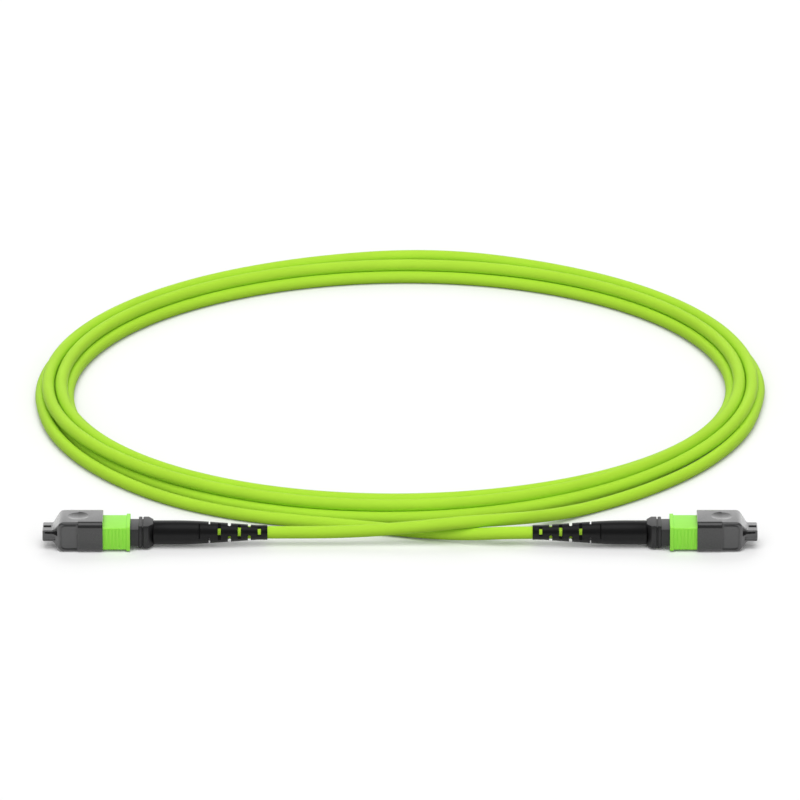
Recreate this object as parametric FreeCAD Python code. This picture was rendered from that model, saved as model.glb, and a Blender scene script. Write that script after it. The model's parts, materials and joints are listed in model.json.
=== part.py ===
import FreeCAD, Part
import math
import os

# Fibre patch lead: a round cable lying in a flat coil, with a multi-fibre push-on connector
# on each end, each closed by its dust cap. Millimetres. X runs along both connectors,
# Y goes back to the coil, Z is up and the lead lies on z = 0.
# Each connector is drawn once along +X, from u = 0 at the boot's cable end out to the cap's
# tip, with its axis on y = z = 0, and is then set down at both ends of the lead.

Vector = FreeCAD.Vector
ALONG = Vector(1, 0, 0)
UP = Vector(0, 0, 1)

# ---- how finely curves are drawn
corner_flats = 4
boot_sides = 20
bore_sides = 12
dish_sides = 16
cable_sides = 10
wire_runs_per_turn = 8

# ---- cable and coil
cable_diameter = 4.2
coil_outer_radius = 124.7
coil_strand_pitch = 4.6
coil_centre_y = 141.0
boot_mouth_x = 43.8
bend_share_of_run = 0.45

# ---- strain relief boot
boot_length = 37.7
boot_front_diameter = 8.0
boot_mid_diameter = 6.9
boot_tail_diameter = 4.9
boot_straight_length = 7.0
boot_mid_station = 17.5
boot_tail_length = 3.4
boot_bore_clearance = 0.05
boot_slot_count = 7
boot_slot_pitch = 3.3
boot_slot_first = 2.7
boot_slot_width = 1.0
boot_slit_width = 0.5
boot_slit_count = 2
boot_slot_half_angle = 55.0
boot_slot_roll = 32.0

# ---- crimp ring and rear body
crimp_wall = 0.6
crimp_length = 10.0
crimp_clearance = 0.05
crimp_overlap_on_jacket = 2.5
post_length = 8.5
post_bore = 3.3
jacket_gap = 0.2
collar_width = 9.4
collar_height = 7.8
collar_corner = 0.5
collar_block_length = 1.75
collar_chamfer_length = 1.6
collar_chamfer_width = 2.2
collar_groove_length = 0.35
collar_groove_depth = 0.6
collar_flange_length = 1.15
spigot_length = 3.5
spigot_clearance = 0.05

# ---- inner housing
housing_width = 10.2
housing_height = 5.8
housing_corner = 0.5
housing_length = 21.5
housing_nose_chamfer = 0.4
chamber_width = 7.6
chamber_height = 3.7
chamber_corner = 0.4
key_width = 3.0
key_height = 0.85
key_length = 3.0
key_setback = 1.4
notch_length = 1.2
notch_depth = 0.6
notch_height = 3.2
notch_setback = 3.2

# ---- ferrule, pin clamp and fibre
ferrule_width = 6.4
ferrule_height = 2.5
ferrule_length = 8.0
ferrule_proud = 1.0
ferrule_corner = 0.15
ferrule_window_clearance = 0.05
shoulder_width = 7.2
shoulder_height = 3.1
shoulder_length = 2.0
guide_hole_diameter = 0.7
guide_hole_spacing = 4.6
glue_window_length = 1.4
glue_window_width = 2.8
glue_window_setback = 2.6
pin_clamp_length = 2.3
fibre_boot_width = 3.6
fibre_boot_height = 1.5
fibre_boot_length = 6.0
fibre_boot_seat = 1.5
fibre_boot_clearance = 0.05
fibre_boot_corner = 0.5
ribbon_width = 3.1
ribbon_height = 0.3
ribbon_clearance = 0.02

# ---- coupling sleeve
sleeve_width = 12.4
sleeve_height = 7.7
sleeve_corner = 0.8
sleeve_length = 13.5
sleeve_clearance = 0.06
neck_length = 2.8
lip_length = 1.25
lip_stand = 0.38
groove_count = 9
groove_pitch = 1.18
groove_first = 1.15
groove_width = 0.4
groove_depth = 0.18

# ---- springs
side_spring_diameter = 1.15
side_spring_wire = 0.2
side_spring_length = 6.0
side_spring_turns = 5
side_spring_front_wall = 3.8
side_spring_clearance = 0.06
main_spring_width = 6.6
main_spring_height = 3.2
main_spring_wire = 0.42
main_spring_turns = 6
spring_end_gap = 0.05

# ---- dust cap
cap_length = 20.0
cap_width = 14.2
cap_height = 10.5
cap_rise = 0.635
cap_corner = 2.0
cap_grip_on_sleeve = 4.5
cap_clearance = 0.05
cap_rear_length = 8.3
cap_side_step = 0.8
cap_top_step = 0.1
cap_step_chamfer = 0.3
cap_front_corner = 0.8
cap_shoulder_radius = 2.2
cap_shoulder_side_radius = 1.4
cap_shoulder_top_station = 13.9
cap_shoulder_side_station = 14.3
cap_root_top_station = 16.6
cap_root_side_station = 16.3
cap_root_radius = 0.8
cap_mid_gap = 0.4
cap_end_gap = 0.6
cap_nose_clearance = 0.3
cap_end_pocket_depth = 2.3
tab_width = 8.2
tab_height = 3.8
tab_rise = 0.245
tab_corner = 0.5
tab_slot_length = 2.45
tab_slot_end_wall = 0.3
tab_slot_width = 0.9
tab_slot_depth = 1.1
tab_flange = 0.35
tab_groove_height = 0.5
tab_groove_depth = 1.3
tab_groove_end = 0.45
pocket_height = 1.9
dish_rim_diameter = 7.2
dish_floor_diameter = 4.4
dish_depth = 0.4

# ---- stations along the connector
cable_radius = cable_diameter / 2
collar_length = collar_block_length + collar_chamfer_length + collar_groove_length + collar_flange_length
neck_start = boot_length + collar_length
sleeve_start = neck_start + neck_length
sleeve_end = sleeve_start + sleeve_length
housing_end = neck_start + housing_length
ferrule_face = housing_end + ferrule_proud
ferrule_rear = ferrule_face - ferrule_length
shoulder_front = ferrule_rear + shoulder_length
pin_clamp_rear = ferrule_rear - pin_clamp_length
spigot_end = neck_start + spigot_length
post_end = boot_length - post_length
jacket_end = post_end - jacket_gap
crimp_start = jacket_end - crimp_overlap_on_jacket
cap_mouth = sleeve_end - cap_grip_on_sleeve
cap_tip = cap_mouth + cap_length
side_spring_front = sleeve_end - side_spring_front_wall
side_spring_rear = side_spring_front - side_spring_length
connector_axis_z = cap_height / 2 - cap_rise


def section(u, width, height, corner, middle=0.0, flats=corner_flats):
    """The corners of a rounded rectangle across the connector at station u.

    Each rounded corner is drawn in a few flats, which keeps the model light."""
    arc = [math.pi / 2 * step / flats for step in range(flats + 1)]
    quarter = [(width / 2 - corner + corner * math.cos(angle),
                height / 2 - corner + corner * math.sin(angle)) for angle in arc]
    outline = list(quarter)
    outline += [(-y, z) for y, z in reversed(quarter)]
    outline += [(-y, -z) for y, z in quarter]
    outline += [(y, -z) for y, z in reversed(quarter)]
    return [Vector(u, y, middle + z) for y, z in outline]


def skinned(rings):
    """A solid with flat faces between rings of equally many corners, listed from +y towards +z."""
    faces = [Part.Face(Part.makePolygon(ring + ring[:1])) for ring in (rings[0][::-1], rings[-1])]
    for ring, following in zip(rings, rings[1:]):
        for index, corner in enumerate(ring):
            quad = [ring[index - 1], corner, following[index], following[index - 1]]
            faces.append(Part.Face(Part.makePolygon(quad + quad[:1])))
    shell = Part.makeShell(faces)
    shell.sewShape()
    return Part.makeSolid(shell)


def bar(start, end, width, height, corner, middle=0.0, flats=corner_flats):
    """A rounded rectangular bar along the connector, from station start to station end."""
    return skinned([section(u, width, height, corner, middle, flats) for u in (start, end)])


def inner_bar(start, end, width, height, corner, middle=0.0):
    """A bar for a hidden form, with its long edges cut flat."""
    return bar(start, end, width, height, corner, middle, 1)


def box(start, end, low_y, high_y, low_z, high_z):
    """A square-edged block given by its stations and its low and high sides."""
    return Part.makeBox(end - start, high_y - low_y, high_z - low_z, Vector(start, low_y, low_z))


def turned(stations, sides, across_flats=False):
    """A round form along the connector, drawn with flats; stations lists (u, diameter).

    Its corners lie on the diameter, or its flats do, as a bore needs to stay clear."""
    grow = 1 / math.cos(math.pi / sides) if across_flats else 1.0
    angles = [2 * math.pi * side / sides for side in range(sides)]
    return skinned([[Vector(u, diameter / 2 * grow * math.cos(angle), diameter / 2 * grow * math.sin(angle))
                     for angle in angles] for u, diameter in stations])


def bore(start, end, diameter, y=0.0):
    """The room inside a round hole along the connector, at y off the axis."""
    room = turned([(start, diameter), (end, diameter)], bore_sides, True)
    room.translate(Vector(0, y, 0))
    return room


def cornered_face(corners):
    """A face from (point, radius) corners, each corner rounded by its radius."""
    count = len(corners)
    arcs = []
    for index, (point, radius) in enumerate(corners):
        before = (corners[index - 1][0] - point).normalize()
        after = (corners[(index + 1) % count][0] - point).normalize()
        if radius == 0:
            arcs.append((point, None, point))
            continue
        half = before.getAngle(after) / 2
        reach = radius / math.tan(half)
        inward = (before + after).normalize()
        centre = point + inward * (radius / math.sin(half))
        arcs.append((point + before * reach, centre - inward * radius, point + after * reach))
    edges = []
    for (first, middle, last), (following, _, _) in zip(arcs, arcs[1:] + arcs[:1]):
        if middle is not None:
            edges.append(Part.Arc(first, middle, last).toShape())
        edges.append(Part.makeLine(last, following))
    return Part.Face(Part.Wire(edges))


def closed_outline(stations, across):
    """Corners of an outline from the rear to the tip and back.

    stations lists (u, high side, low side, corner radius)."""
    upper = [(ALONG * u + across * high, radius) for u, high, low, radius in stations]
    lower = [(ALONG * u + across * low, radius) for u, high, low, radius in reversed(stations)]
    return upper + lower


def both_sides(shape):
    """A shape and its mirror image on the other narrow side of the connector."""
    return shape.fuse(shape.mirror(Vector(0, 0, 0), Vector(0, 1, 0)))


# ---------------------------------------------------------------- dust cap
def cap_front():
    """The cap's front: a block that narrows by rounded shoulders to the grip tab."""
    rear = cap_mouth + cap_rear_length - cap_step_chamfer
    half_w = cap_width / 2 - cap_side_step
    half_h = cap_height / 2 - cap_top_step
    high = cap_rise + half_h
    low = cap_rise - half_h
    tab_top = tab_rise + tab_height / 2
    tab_low = tab_rise - tab_height / 2
    tab_side = tab_width / 2
    side = closed_outline(
        [(rear, high, low, 0),
         (cap_mouth + cap_shoulder_top_station, high, low, cap_shoulder_radius),
         (cap_mouth + cap_root_top_station, tab_top, tab_low, cap_root_radius),
         (cap_tip, tab_top, tab_low, tab_corner)], UP)
    plan = closed_outline(
        [(rear, half_w, -half_w, 0),
         (cap_mouth + cap_shoulder_side_station, half_w, -half_w, cap_shoulder_side_radius),
         (cap_mouth + cap_root_side_station, tab_side, -tab_side, cap_root_radius),
         (cap_tip, tab_side, -tab_side, tab_corner)], Vector(0, 1, 0))
    side_face = cornered_face(side)
    side_face.translate(Vector(0, -cap_width / 2, 0))
    plan_face = cornered_face(plan)
    plan_face.translate(Vector(0, 0, low))
    block = bar(rear, cap_tip, 2 * half_w, 2 * half_h, cap_front_corner, cap_rise)
    return block.common(side_face.extrude(Vector(0, cap_width, 0))).common(
        plan_face.extrude(UP * cap_height))


def tab_grooves():
    """The groove under the tab's top flange, which opens into a pocket at the shoulder."""
    top = tab_rise + tab_height / 2 - tab_flange
    bottom = top - tab_groove_height
    shoulder = cap_mouth + cap_shoulder_side_station
    root = cap_mouth + cap_root_top_station
    outline = [
        (Vector(shoulder, 0, bottom), 0),
        (Vector(cap_tip - tab_groove_end, 0, bottom), 0),
        (Vector(cap_tip - tab_groove_end, 0, top), 0),
        (Vector(root, 0, top), 0),
        (Vector(shoulder, 0, bottom + pocket_height), 0)]
    face = cornered_face(outline)
    face.translate(Vector(0, tab_width / 2 - tab_groove_depth, 0))
    return both_sides(face.extrude(Vector(0, cap_width / 2, 0)))


def finger_dish(side):
    """A shallow dish with a sloping wall for finger and thumb, on top (side 1) or below (-1)."""
    dish = turned([(0, dish_rim_diameter), (dish_depth, dish_floor_diameter)], dish_sides)
    dish.rotate(Vector(0, 0, 0), Vector(0, 1, 0), side * 90)
    dish.translate(Vector(cap_mouth + cap_rear_length, 0, cap_rise + side * (cap_height / 2)))
    return dish


def dust_cap():
    rear_end = cap_mouth + cap_rear_length
    rim = 2 * cap_step_chamfer
    rear = skinned(
        [section(cap_mouth, cap_width, cap_height, cap_corner, cap_rise),
         section(rear_end - cap_step_chamfer, cap_width, cap_height, cap_corner, cap_rise),
         section(rear_end, cap_width - rim, cap_height - rim, cap_corner - cap_step_chamfer, cap_rise)])
    body = rear.fuse(cap_front())
    grip = bar(cap_mouth, sleeve_end + cap_mid_gap, sleeve_width + 2 * cap_clearance,
               sleeve_height + 2 * cap_clearance, sleeve_corner)
    nose_width = housing_width + 2 * cap_nose_clearance
    nose_height = housing_height / 2 + cap_nose_clearance
    nose_top = housing_height / 2 + key_height + cap_nose_clearance / 2
    nose_room = inner_bar(cap_mouth, housing_end + cap_end_gap, nose_width, nose_height + nose_top,
                          housing_corner, (nose_top - nose_height) / 2)
    end_pocket = inner_bar(cap_mouth, housing_end + cap_end_gap + cap_end_pocket_depth,
                           shoulder_width + 2 * cap_nose_clearance,
                           shoulder_height + 2 * cap_nose_clearance, housing_corner)
    tab_top = tab_rise + tab_height / 2
    slot_end = cap_tip - tab_slot_end_wall
    tab_slot = box(slot_end - tab_slot_length, slot_end, -tab_slot_width / 2, tab_slot_width / 2,
                   tab_top - tab_slot_depth, tab_top + tab_slot_depth)
    for hollow in (grip, nose_room, end_pocket, tab_slot, tab_grooves(),
                   finger_dish(1), finger_dish(-1)):
        body = body.cut(hollow)
    return body.removeSplitter()


# ---------------------------------------------------------------- coupling sleeve
def spring_channel(start, end):
    """The round-bottomed room for one side spring, half in the housing, half in the sleeve."""
    room = side_spring_diameter + 2 * side_spring_clearance
    return bore(start, end, room, housing_width / 2)


def coupling_sleeve():
    shell = bar(sleeve_start, sleeve_end, sleeve_width, sleeve_height, sleeve_corner)
    lip_width = sleeve_width + 2 * lip_stand
    lip_height = sleeve_height + 2 * lip_stand
    lip_corner = sleeve_corner + lip_stand
    lip_end = sleeve_start + lip_length
    lip = skinned(
        [section(sleeve_start, lip_width, lip_height, lip_corner),
         section(lip_end - lip_stand, lip_width, lip_height, lip_corner),
         section(lip_end, sleeve_width, sleeve_height, sleeve_corner)])
    body = shell.fuse(lip)
    passage = inner_bar(sleeve_start, sleeve_end, housing_width + 2 * sleeve_clearance,
                        housing_height + 2 * sleeve_clearance, housing_corner + sleeve_clearance)
    body = body.cut(passage)
    body = body.cut(both_sides(spring_channel(sleeve_start, side_spring_front)))
    rib_height = sleeve_height / 2 - sleeve_corner
    for index in range(groove_count):
        station = sleeve_start + lip_length + groove_first + index * groove_pitch
        groove = box(station - groove_width / 2, station + groove_width / 2,
                     sleeve_width / 2 - groove_depth, sleeve_width, -rib_height, rib_height)
        body = body.cut(both_sides(groove))
    return body


# ---------------------------------------------------------------- inner housing and rear body
def inner_housing():
    block = inner_bar(neck_start, housing_end, housing_width, housing_height, housing_corner)
    nose = [edge for edge in block.Edges
            if all(abs(v.X - housing_end) < housing_corner for v in edge.Vertexes)]
    body = block.makeChamfer(housing_nose_chamfer, nose)
    key_end = housing_end - key_setback
    key = inner_bar(key_end - key_length, key_end, key_width, key_height * 2, housing_corner,
                    housing_height / 2)
    body = body.fuse(key)
    body = body.cut(inner_bar(neck_start, shoulder_front, chamber_width, chamber_height, chamber_corner))
    body = body.cut(inner_bar(neck_start, housing_end, ferrule_width + 2 * ferrule_window_clearance,
                              ferrule_height + 2 * ferrule_window_clearance, ferrule_corner))
    body = body.cut(both_sides(spring_channel(side_spring_rear, side_spring_front)))
    notch_end = housing_end - notch_setback
    notch = box(notch_end - notch_length, notch_end, housing_width / 2 - notch_depth,
                housing_width, -notch_height / 2, notch_height / 2)
    return body.cut(both_sides(notch))


def rear_body():
    """Collar block, flange, spigot into the housing and crimp post: one moulding."""
    block_end = boot_length + collar_chamfer_length + collar_block_length
    half_w = collar_width / 2
    plan = closed_outline(
        [(boot_length, half_w - collar_chamfer_width, collar_chamfer_width - half_w, 0),
         (boot_length + collar_chamfer_length, half_w, -half_w, collar_corner),
         (block_end, half_w, -half_w, 0)], Vector(0, 1, 0))
    face = cornered_face(plan)
    face.translate(UP * (-collar_height / 2))
    full = bar(boot_length, block_end, collar_width, collar_height, collar_corner)
    block = full.common(face.extrude(UP * collar_height))
    groove = inner_bar(block_end, block_end + collar_groove_length,
                       collar_width - 2 * collar_groove_depth,
                       collar_height - 2 * collar_groove_depth, collar_corner)
    flange = bar(block_end + collar_groove_length, neck_start, collar_width, collar_height,
                 collar_corner)
    spigot = inner_bar(neck_start, spigot_end, chamber_width - 2 * spigot_clearance,
                       chamber_height - 2 * spigot_clearance, chamber_corner)
    post = turned([(post_end, cable_diameter), (boot_length, cable_diameter)], bore_sides)
    body = block.fuse([groove, flange, spigot, post])
    return body.cut(bore(post_end, spigot_end, post_bore)).removeSplitter()


def crimp_ring():
    inner = cable_diameter + 2 * crimp_clearance
    outer = inner + 2 * crimp_wall
    crimp_end = crimp_start + crimp_length
    tube = turned([(crimp_start, outer), (crimp_end, outer)], boot_sides)
    return tube.cut(bore(crimp_start, crimp_end, inner))


# ---------------------------------------------------------------- strain relief boot
def boot_slot(station, width, roll):
    """Two facing sectors cut through the boot's wall, leaving a rib on each side between them."""
    reach = boot_front_diameter
    half = math.radians(boot_slot_half_angle)
    far = reach / math.cos(half)
    wedge = None
    for turn in (0.0, 180.0):
        points = [Vector(station - width / 2, 0, 0)]
        for angle in (-half, half):
            points.append(points[0] + Vector(0, math.cos(angle) * far, math.sin(angle) * far))
        face = Part.Face(Part.makePolygon(points + points[:1]))
        solid = face.extrude(ALONG * width)
        solid.rotate(points[0], ALONG, turn + roll)
        wedge = solid if wedge is None else wedge.fuse(solid)
    return wedge


def strain_relief_boot(roll_sign):
    """A turned taper with slots that alternate round it, so that it bends with the cable."""
    body = turned([(0, boot_tail_diameter), (boot_tail_length, boot_tail_diameter),
                   (boot_mid_station, boot_mid_diameter),
                   (boot_length - boot_straight_length, boot_front_diameter),
                   (boot_length, boot_front_diameter)], boot_sides)
    for index in range(boot_slot_count):
        station = boot_slot_first + index * boot_slot_pitch
        slit = index >= boot_slot_count - boot_slit_count
        width = boot_slit_width if slit else boot_slot_width
        quarter = 90.0 if index % 2 else 0.0
        body = body.cut(boot_slot(station, width, quarter - roll_sign * boot_slot_roll))
    body = body.cut(bore(0, boot_length, cable_diameter + 2 * boot_bore_clearance))
    ring_room = cable_diameter + 2 * (crimp_clearance + crimp_wall + boot_bore_clearance)
    return body.cut(turned([(crimp_start - boot_bore_clearance, ring_room), (boot_length, ring_room)],
                           boot_sides, True))


# ---------------------------------------------------------------- ferrule group
def ferrule():
    front = inner_bar(ferrule_rear, ferrule_face, ferrule_width, ferrule_height, ferrule_corner)
    shoulder = inner_bar(ferrule_rear, shoulder_front, shoulder_width, shoulder_height, ferrule_corner)
    body = front.fuse(shoulder)
    for side in (-1, 1):
        body = body.cut(bore(ferrule_rear, ferrule_face, guide_hole_diameter,
                             side * guide_hole_spacing / 2))
    seat = fibre_boot_seat + fibre_boot_clearance
    body = body.cut(inner_bar(ferrule_rear, ferrule_rear + seat,
                              fibre_boot_width + 2 * fibre_boot_clearance,
                              fibre_boot_height + 2 * fibre_boot_clearance, ferrule_corner))
    window_end = ferrule_face - glue_window_setback
    return body.cut(box(window_end - glue_window_length, window_end, -glue_window_width / 2,
                        glue_window_width / 2, 0, ferrule_height))


def pin_clamp():
    """The keeper behind the ferrule: a plate that the main spring pushes on."""
    body = inner_bar(pin_clamp_rear, ferrule_rear, shoulder_width, shoulder_height, ferrule_corner)
    for side in (-1, 1):
        body = body.cut(bore(pin_clamp_rear, ferrule_rear, guide_hole_diameter,
                             side * guide_hole_spacing / 2))
    return body.cut(inner_bar(pin_clamp_rear, ferrule_rear,
                              fibre_boot_width + 2 * fibre_boot_clearance,
                              fibre_boot_height + 2 * fibre_boot_clearance, ferrule_corner))


def ferrule_boot():
    front = ferrule_rear + fibre_boot_seat
    body = inner_bar(front - fibre_boot_length, front, fibre_boot_width, fibre_boot_height,
                     fibre_boot_corner)
    return body.cut(box(front - fibre_boot_length, front, -ribbon_width / 2 - ribbon_clearance,
                        ribbon_width / 2 + ribbon_clearance, -ribbon_height / 2 - ribbon_clearance,
                        ribbon_height / 2 + ribbon_clearance))


def fibre_ribbon():
    """Twelve fibres side by side in one flat ribbon, from the jacket's end into the ferrule."""
    return box(jacket_end, ferrule_rear + fibre_boot_seat, -ribbon_width / 2, ribbon_width / 2,
               -ribbon_height / 2, ribbon_height / 2)


# ---------------------------------------------------------------- springs
def coil_spring(start, end, width, height, wire, turns):
    """A square wire wound along the connector in short straight runs, round or oval."""
    length = end - start - wire - spring_end_gap
    count = turns * wire_runs_per_turn
    points = []
    for index in range(count + 1):
        angle = 2 * math.pi * index / wire_runs_per_turn
        points.append(Vector(start + wire / 2 + length * index / count,
                             (width - wire) / 2 * math.cos(angle),
                             (height - wire) / 2 * math.sin(angle)))
    across = (points[1] - points[0]).cross(ALONG).normalize() * (wire / 2)
    along = ALONG * (wire / 2)
    corners = [points[0] + along + across, points[0] + along - across,
               points[0] - along - across, points[0] - along + across]
    outline = Part.makePolygon(corners + corners[:1])
    return Part.makePolygon(points).makePipeShell([outline], True, True, 1)


def sleeve_springs():
    pair = []
    for side in (-1, 1):
        spring = coil_spring(side_spring_rear, side_spring_front, side_spring_diameter,
                             side_spring_diameter, side_spring_wire, side_spring_turns)
        spring.translate(Vector(0, side * housing_width / 2, 0))
        pair.append(spring)
    return Part.makeCompound(pair)


def ferrule_spring():
    """The oval main spring between the rear body's spigot and the pin clamp."""
    return coil_spring(spigot_end, pin_clamp_rear, main_spring_width, main_spring_height,
                       main_spring_wire, main_spring_turns)


# ---------------------------------------------------------------- cable
def tube_along(points, name):
    """A round tube on straight runs joined by tangent arcs, as large as the runs allow."""
    edges = []
    start = points[0]
    radii = []
    for before, corner, after in zip(points, points[1:], points[2:]):
        arriving = corner - before
        leaving = after - corner
        turn = arriving.getAngle(leaving)
        shorter = min(arriving.Length, leaving.Length)
        reach = bend_share_of_run * shorter
        radius = reach / math.tan(turn / 2)
        radii.append(radius)
        first = corner - arriving.normalize() * reach
        last = corner + leaving.normalize() * reach
        centre_side = (leaving - arriving).normalize()
        middle = corner + centre_side * (radius / math.cos(turn / 2) - radius)
        edges.append(Part.LineSegment(start, first).toShape())
        edges.append(Part.Arc(first, middle, last).toShape())
        start = last
    edges.append(Part.LineSegment(start, points[-1]).toShape())
    path = Part.Wire(edges)
    ring = [points[0] + Vector(0, math.sin(angle), -math.cos(angle)) * cable_radius
            for angle in (2 * math.pi * side / cable_sides for side in range(cable_sides))]
    outline = Part.makePolygon(ring + ring[:1])
    tube = path.makePipeShell([outline], True, False)
    filled = tube.Volume / (Part.Face(outline).Area * path.Length)
    print(name, "smallest bend radius", round(min(radii), 1), "length", round(path.Length, 1),
          "volume to section times length", round(filled, 4))
    return tube


def lead_points(side, free_route):
    """The route of a free end: the jacket's end inside the boot, then points chosen by hand."""
    jacket = Vector(side * (boot_mouth_x + jacket_end), 0, connector_axis_z)
    return [jacket] + [Vector(x, y, z) for x, y, z in free_route]


axis_z = connector_axis_z
floor_z = cable_radius

# The left end rises over the right end and joins the coil's outside on the right.
left_route = [
    (-34, 0, axis_z), (-20, 0.15, axis_z + 0.1), (-6, 0.5, 5.5), (7, 1.5, 6.6), (21, 4.4, 6.5),
    (34, 9.2, 4.9), (47, 16.6, 3.2), (60, 25.2, floor_z), (74, 35.9, floor_z), (87, 48.4, floor_z),
    (99, 63.0, floor_z), (109, 80.2, floor_z), (116.5, 99.0, floor_z), (120.5, 118.5, floor_z)]
# The right end drops to the floor at once and joins the coil's outside on the left.
right_route = [
    (35, 0, axis_z), (24, 0.8, 2.9), (12, 3.2, floor_z), (-3, 7.4, floor_z),
    (-18, 11.2, floor_z), (-33, 15.4, floor_z), (-48, 20.8, floor_z), (-62, 28.0, floor_z),
    (-76, 37.8, floor_z), (-89, 50.6, floor_z), (-100.5, 65.6, floor_z), (-110, 82.6, floor_z),
    (-117, 101, floor_z), (-120.8, 120, floor_z)]


def cable_coil():
    """The outer shape of five turns lying three on the floor and two in the valleys above."""
    lift = math.sqrt(cable_diameter ** 2 - (coil_strand_pitch / 2) ** 2)
    outer = coil_outer_radius - cable_radius
    inner = outer - 2 * coil_strand_pitch
    upper_outer = outer - coil_strand_pitch / 2
    upper_inner = inner + coil_strand_pitch / 2
    lean = math.atan2(lift, coil_strand_pitch / 2)
    r = cable_radius

    def at(radius, height, angle):
        return Vector(radius + r * math.cos(angle), 0, height + r * math.sin(angle))

    quarter = math.pi / 2
    slope = quarter - lean
    top = r + lift
    corners = [(outer, r, -quarter, slope), (upper_outer, top, slope, quarter),
               (upper_inner, top, quarter, 2 * quarter - slope),
               (inner, r, 2 * quarter - slope, 3 * quarter)]
    outline = []
    for radius, height, first, last in corners:
        outline += [at(radius, height, angle) for angle in (first, last)]
    ring = Part.Face(Part.makePolygon(outline + outline[:1])).revolve(Vector(0, 0, 0), UP, 360)
    ring.translate(Vector(0, coil_centre_y, 0))
    return ring


# ---------------------------------------------------------------- assembly
connector_parts = {
    "dust_cap": dust_cap,
    "coupling_sleeve": coupling_sleeve,
    "sleeve_springs": sleeve_springs,
    "inner_housing": inner_housing,
    "ferrule": ferrule,
    "pin_clamp": pin_clamp,
    "ferrule_boot": ferrule_boot,
    "ferrule_spring": ferrule_spring,
    "fibre_ribbon": fibre_ribbon,
    "rear_body": rear_body,
    "crimp_ring": crimp_ring,
}


def set_down(shape, side):
    """Places a connector piece at the right end (side 1) or turned round at the left (-1)."""
    placed = shape.copy()
    if side < 0:
        placed.rotate(Vector(0, 0, 0), UP, 180)
    placed.translate(Vector(side * boot_mouth_x, 0, connector_axis_z))
    return placed


def build():
    pieces = {"cable_coil": cable_coil(),
              "cable_lead_left": tube_along(lead_points(-1, left_route), "cable_lead_left"),
              "cable_lead_right": tube_along(lead_points(1, right_route), "cable_lead_right")}
    ends = (("left", -1), ("right", 1))
    for name, make in connector_parts.items():
        shape = make()
        for end, side in ends:
            pieces[name + "_" + end] = set_down(shape, side)
    for end, side in ends:
        pieces["strain_relief_boot_" + end] = set_down(strain_relief_boot(side), side)
    return pieces


os.makedirs("parts", exist_ok=True)
for node, solid in build().items():
    solid.exportStep("parts/" + node + ".step")
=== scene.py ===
import json
import math

import bmesh
import bpy
import numpy as np
from bpy.props import FloatProperty, FloatVectorProperty, IntProperty, PointerProperty
from mathutils import Matrix, Vector


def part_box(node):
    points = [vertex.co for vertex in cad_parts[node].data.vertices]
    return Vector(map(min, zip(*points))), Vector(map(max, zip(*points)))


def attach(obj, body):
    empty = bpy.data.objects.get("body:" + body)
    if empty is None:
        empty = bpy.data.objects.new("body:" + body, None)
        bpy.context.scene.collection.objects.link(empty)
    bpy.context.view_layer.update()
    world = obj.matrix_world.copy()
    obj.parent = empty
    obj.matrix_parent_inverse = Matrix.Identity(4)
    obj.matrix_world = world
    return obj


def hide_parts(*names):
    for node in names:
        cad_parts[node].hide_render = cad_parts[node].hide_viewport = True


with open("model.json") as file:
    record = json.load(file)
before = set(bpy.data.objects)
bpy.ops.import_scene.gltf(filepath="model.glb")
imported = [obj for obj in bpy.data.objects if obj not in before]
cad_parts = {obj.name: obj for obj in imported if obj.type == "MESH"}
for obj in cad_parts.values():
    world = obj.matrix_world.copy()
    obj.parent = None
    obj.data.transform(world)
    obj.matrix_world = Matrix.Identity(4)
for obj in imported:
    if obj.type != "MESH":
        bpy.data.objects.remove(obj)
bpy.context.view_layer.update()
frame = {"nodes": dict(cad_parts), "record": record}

bl_info = {
    "name": "Multi-fibre patch lead",
    "version": (1, 0, 0),
    "blender": (4, 5, 0),
    "location": "View3D > Sidebar > Patch Lead",
    "description": "Builds a coiled fibre patch lead with a capped push-on connector on each end",
    "category": "Add Mesh",
}

MM = 0.001
ENDS = (("left", -1), ("right", 1))
PLUG_AXIS_Z = next(m["pos_m"][2] for m in frame["record"]["mounts"] if m["name"] == "plug_right")
BOOT_MOUTH_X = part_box("strain_relief_boot_right")[0].x


def span(node):
    """Start, end, width and height of a node of the right connector, in millimetres.

    Its start and end are stations, which are counted from the boot's cable end."""
    low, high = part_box(node + "_right")
    size = (high - low) / MM
    return (low.x - BOOT_MOUTH_X) / MM, (high.x - BOOT_MOUTH_X) / MM, size.y, size.z


# -------- settings
class StageSettings(bpy.types.PropertyGroup):
    camera_distance: FloatProperty(
        name="Camera distance", description="From the camera to the point it looks at",
        default=4.267, min=0.5, unit="LENGTH")
    camera_height_angle: FloatProperty(
        name="Camera height angle", description="Angle of the camera above the floor",
        default=math.radians(20.53), subtype="ANGLE")
    aim_depth: FloatProperty(
        name="Aim depth", description="How far behind the connectors the camera looks",
        default=0.1371, unit="LENGTH")
    view_width: FloatProperty(
        name="View width", description="Width of what the camera sees at the aim point",
        default=0.2728, unit="LENGTH")
    sky_strength: FloatProperty(
        name="Sky strength", description="Even light from all round", default=0.29)
    lamp_strength: FloatProperty(
        name="Lamp strength", description="Light of the lamp overhead", default=0.6)
    back_strength: FloatProperty(
        name="Back strength", description="Light of the lamp low behind", default=0.7)
    fill_strength: FloatProperty(
        name="Fill strength", description="Light of the wide lamp in front", default=1.8)
    floor_glow: FloatProperty(
        name="Floor glow", description="Share of the floor's brightness that no shadow takes away",
        default=0.03, min=0.0, max=1.0, subtype="FACTOR")
    floor_bounce: FloatProperty(
        name="Floor bounce", description="How much light the floor throws back on the object",
        default=0.42, min=0.0, max=1.0, subtype="FACTOR")


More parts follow.
